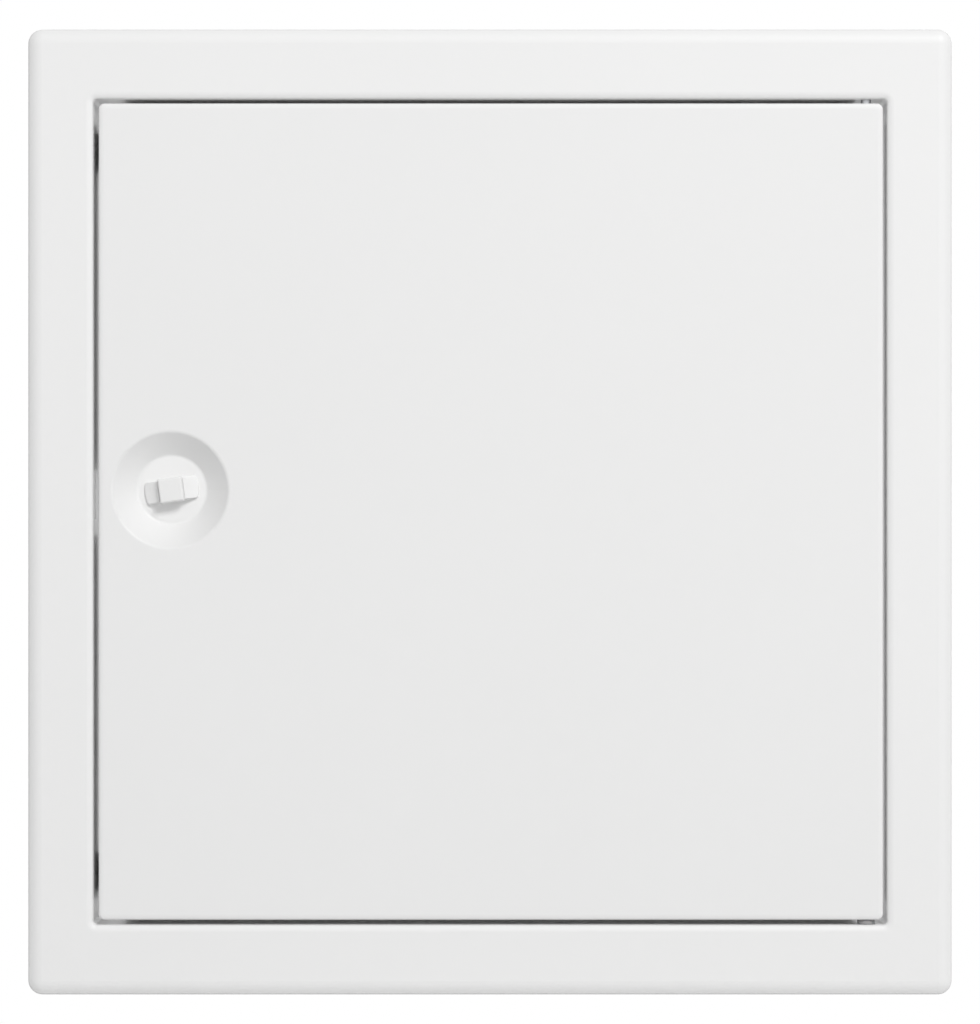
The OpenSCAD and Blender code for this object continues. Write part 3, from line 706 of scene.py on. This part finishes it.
class PANEL_OT_stage(bpy.types.Operator):
    """Sets the camera, the soft light, the white surroundings and the floor"""

    bl_idname = "access_panel.stage"
    bl_label = "Studio"

    def execute(self, context):
        stage = context.scene.panel_stage
        low, _ = CAD_BOX
        self.camera(context, stage, low)
        self.lights(context, stage)
        self.surroundings(context, stage)
        self.floor(context, stage, low)
        context.scene.view_settings.view_transform = "Standard"
        return {"FINISHED"}

    def camera(self, context, stage, low):
        """Looks straight at the panel's face from in front of its middle."""
        data = bpy.data.cameras.new("photo_camera")
        data.sensor_fit = "HORIZONTAL"
        data.sensor_width = SENSOR_W
        data.lens = data.sensor_width * stage.camera_distance / (IMAGE_W * stage.pixel_size)
        data.clip_start = 0.01
        data.clip_end = 50.0
        camera = bpy.data.objects.new("photo_camera", data)
        camera.location = (0.0, low.y - stage.camera_distance, 0.0)
        camera.rotation_euler = (math.radians(90.0), 0.0, 0.0)
        context.collection.objects.link(camera)
        context.scene.camera = camera

    def lights(self, context, stage):
        """A soft box in front, and a distant one straight behind, whose light passes through the gap."""
        self.softbox(
            context, "key_softbox", KEY_TOWARDS, stage.key_distance, stage.key_size, stage.key_power)
        back = self.softbox(
            context, "back_softbox", BACK_TOWARDS, stage.back_distance, stage.back_size, stage.back_power)
        back.visible_glossy = False

    def softbox(self, context, name, towards, distance, size, power):
        """A square lamp that faces the panel's middle."""
        data = bpy.data.lights.new(name, "AREA")
        data.shape = "SQUARE"
        data.size = size
        data.energy = power
        lamp = bpy.data.objects.new(name, data)
        lamp.location = towards * distance
        lamp.rotation_euler = towards.to_track_quat("Z", "Y").to_euler()
        context.collection.objects.link(lamp)
        return lamp

    def seen(self, sheet):
        """1 for what the camera, a reflection or a glass sees, and 0 for light on the object."""
        path = sheet.add("ShaderNodeLightPath")
        direct = path.out("Is Camera Ray") + path.out("Is Glossy Ray") + path.out("Is Transmission Ray")
        return direct.at_most(1.0)

    def surroundings(self, context, stage):
        """White all round, with an even light that is weaker from the sides and from behind."""
        world = bpy.data.worlds.new("white_studio")
        context.scene.world = world
        sheet = Sheet(world)
        shown = self.seen(sheet)
        direction = sheet.add("ShaderNodeTexCoord").out("Generated")
        back = sheet.add("ShaderNodeSeparateXYZ", None, {0: direction}).out(1)
        side = 1.0 - back.at_least(0.0 - back)
        light = (1.0 - side * side * stage.side_dim) * (1.0 - back.at_least(0.0) * stage.back_dim)
        strength = shown + (1.0 - shown) * light * stage.ambient
        background = sheet.add("ShaderNodeBackground", None, {"Color": grey(1.0), "Strength": strength})
        sheet.add("ShaderNodeOutputWorld", None, {"Surface": background.out(0)})

    def floor(self, context, stage, low):
        """A round pale floor that keeps the shadow and fades into the white at its edge."""
        shape = bmesh.new()
        bmesh.ops.create_circle(shape, cap_ends=True, radius=stage.floor_radius, segments=FLOOR_STEPS)
        bmesh.ops.translate(shape, verts=shape.verts, vec=(0.0, 0.0, low.z - stage.floor_drop))
        mesh = bpy.data.meshes.new("floor")
        shape.to_mesh(mesh)
        shape.free()
        floor = bpy.data.objects.new("floor", mesh)
        context.collection.objects.link(floor)
        material, sheet = new_material("floor_pale")
        across = sheet.add("ShaderNodeSeparateXYZ", None, {0: sheet.place()})
        radius = (across.out(0) ** 2.0 + across.out(1) ** 2.0) ** 0.5
        shown = self.seen(sheet)
        fade = radius.ramp(FADE_START * stage.floor_radius, FADE_END * stage.floor_radius) * shown
        colour = sheet.mix(shown, grey(FLOOR_PAINT), grey(FLOOR_SHOWN))
        paint = sheet.add("ShaderNodeBsdfDiffuse", None, {"Color": colour})
        glow = sheet.add("ShaderNodeEmission", None, {"Color": grey(1.0), "Strength": 1.0})
        both = sheet.add("ShaderNodeMixShader", None, {0: fade, 1: paint.out(0), 2: glow.out(0)})
        sheet.add("ShaderNodeOutputMaterial", None, {"Surface": both.out(0)})
        mesh.materials.append(material)


class PANEL_PT_sidebar(bpy.types.Panel):
    """Lists the panel's pieces and its studio"""

    bl_idname = "PANEL_PT_sidebar"
    bl_label = "Access panel"
    bl_space_type = "VIEW_3D"
    bl_region_type = "UI"
    bl_category = "Access panel"

    def draw(self, context):
        """Shows every property, then a button for each piece."""
        for group in (context.scene.panel_looks, context.scene.panel_stage):
            for name in type(group).__annotations__:
                self.layout.prop(group, name)
        for operator in OPERATORS:
            self.layout.operator(operator.bl_idname)


OPERATORS = (PANEL_OT_shells, PANEL_OT_lock, PANEL_OT_hinge, PANEL_OT_fixings, PANEL_OT_stage)
CLASSES = (PanelLooks, StageSettings, *OPERATORS, PANEL_PT_sidebar)


def register():
    """Adds the classes and the scene's two groups of properties."""
    for cls in CLASSES:
        bpy.utils.register_class(cls)
    bpy.types.Scene.panel_looks = bpy.props.PointerProperty(type=PanelLooks)
    bpy.types.Scene.panel_stage = bpy.props.PointerProperty(type=StageSettings)


def unregister():
    """Takes them away again."""
    del bpy.types.Scene.panel_stage
    del bpy.types.Scene.panel_looks
    for cls in reversed(CLASSES):
        bpy.utils.unregister_class(cls)


def main():
    """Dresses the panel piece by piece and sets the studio."""
    register()
    bpy.ops.access_panel.shells()
    bpy.ops.access_panel.lock()
    bpy.ops.access_panel.hinge()
    bpy.ops.access_panel.fixings()
    bpy.ops.access_panel.stage()


if __name__ == "__main__":
    main()
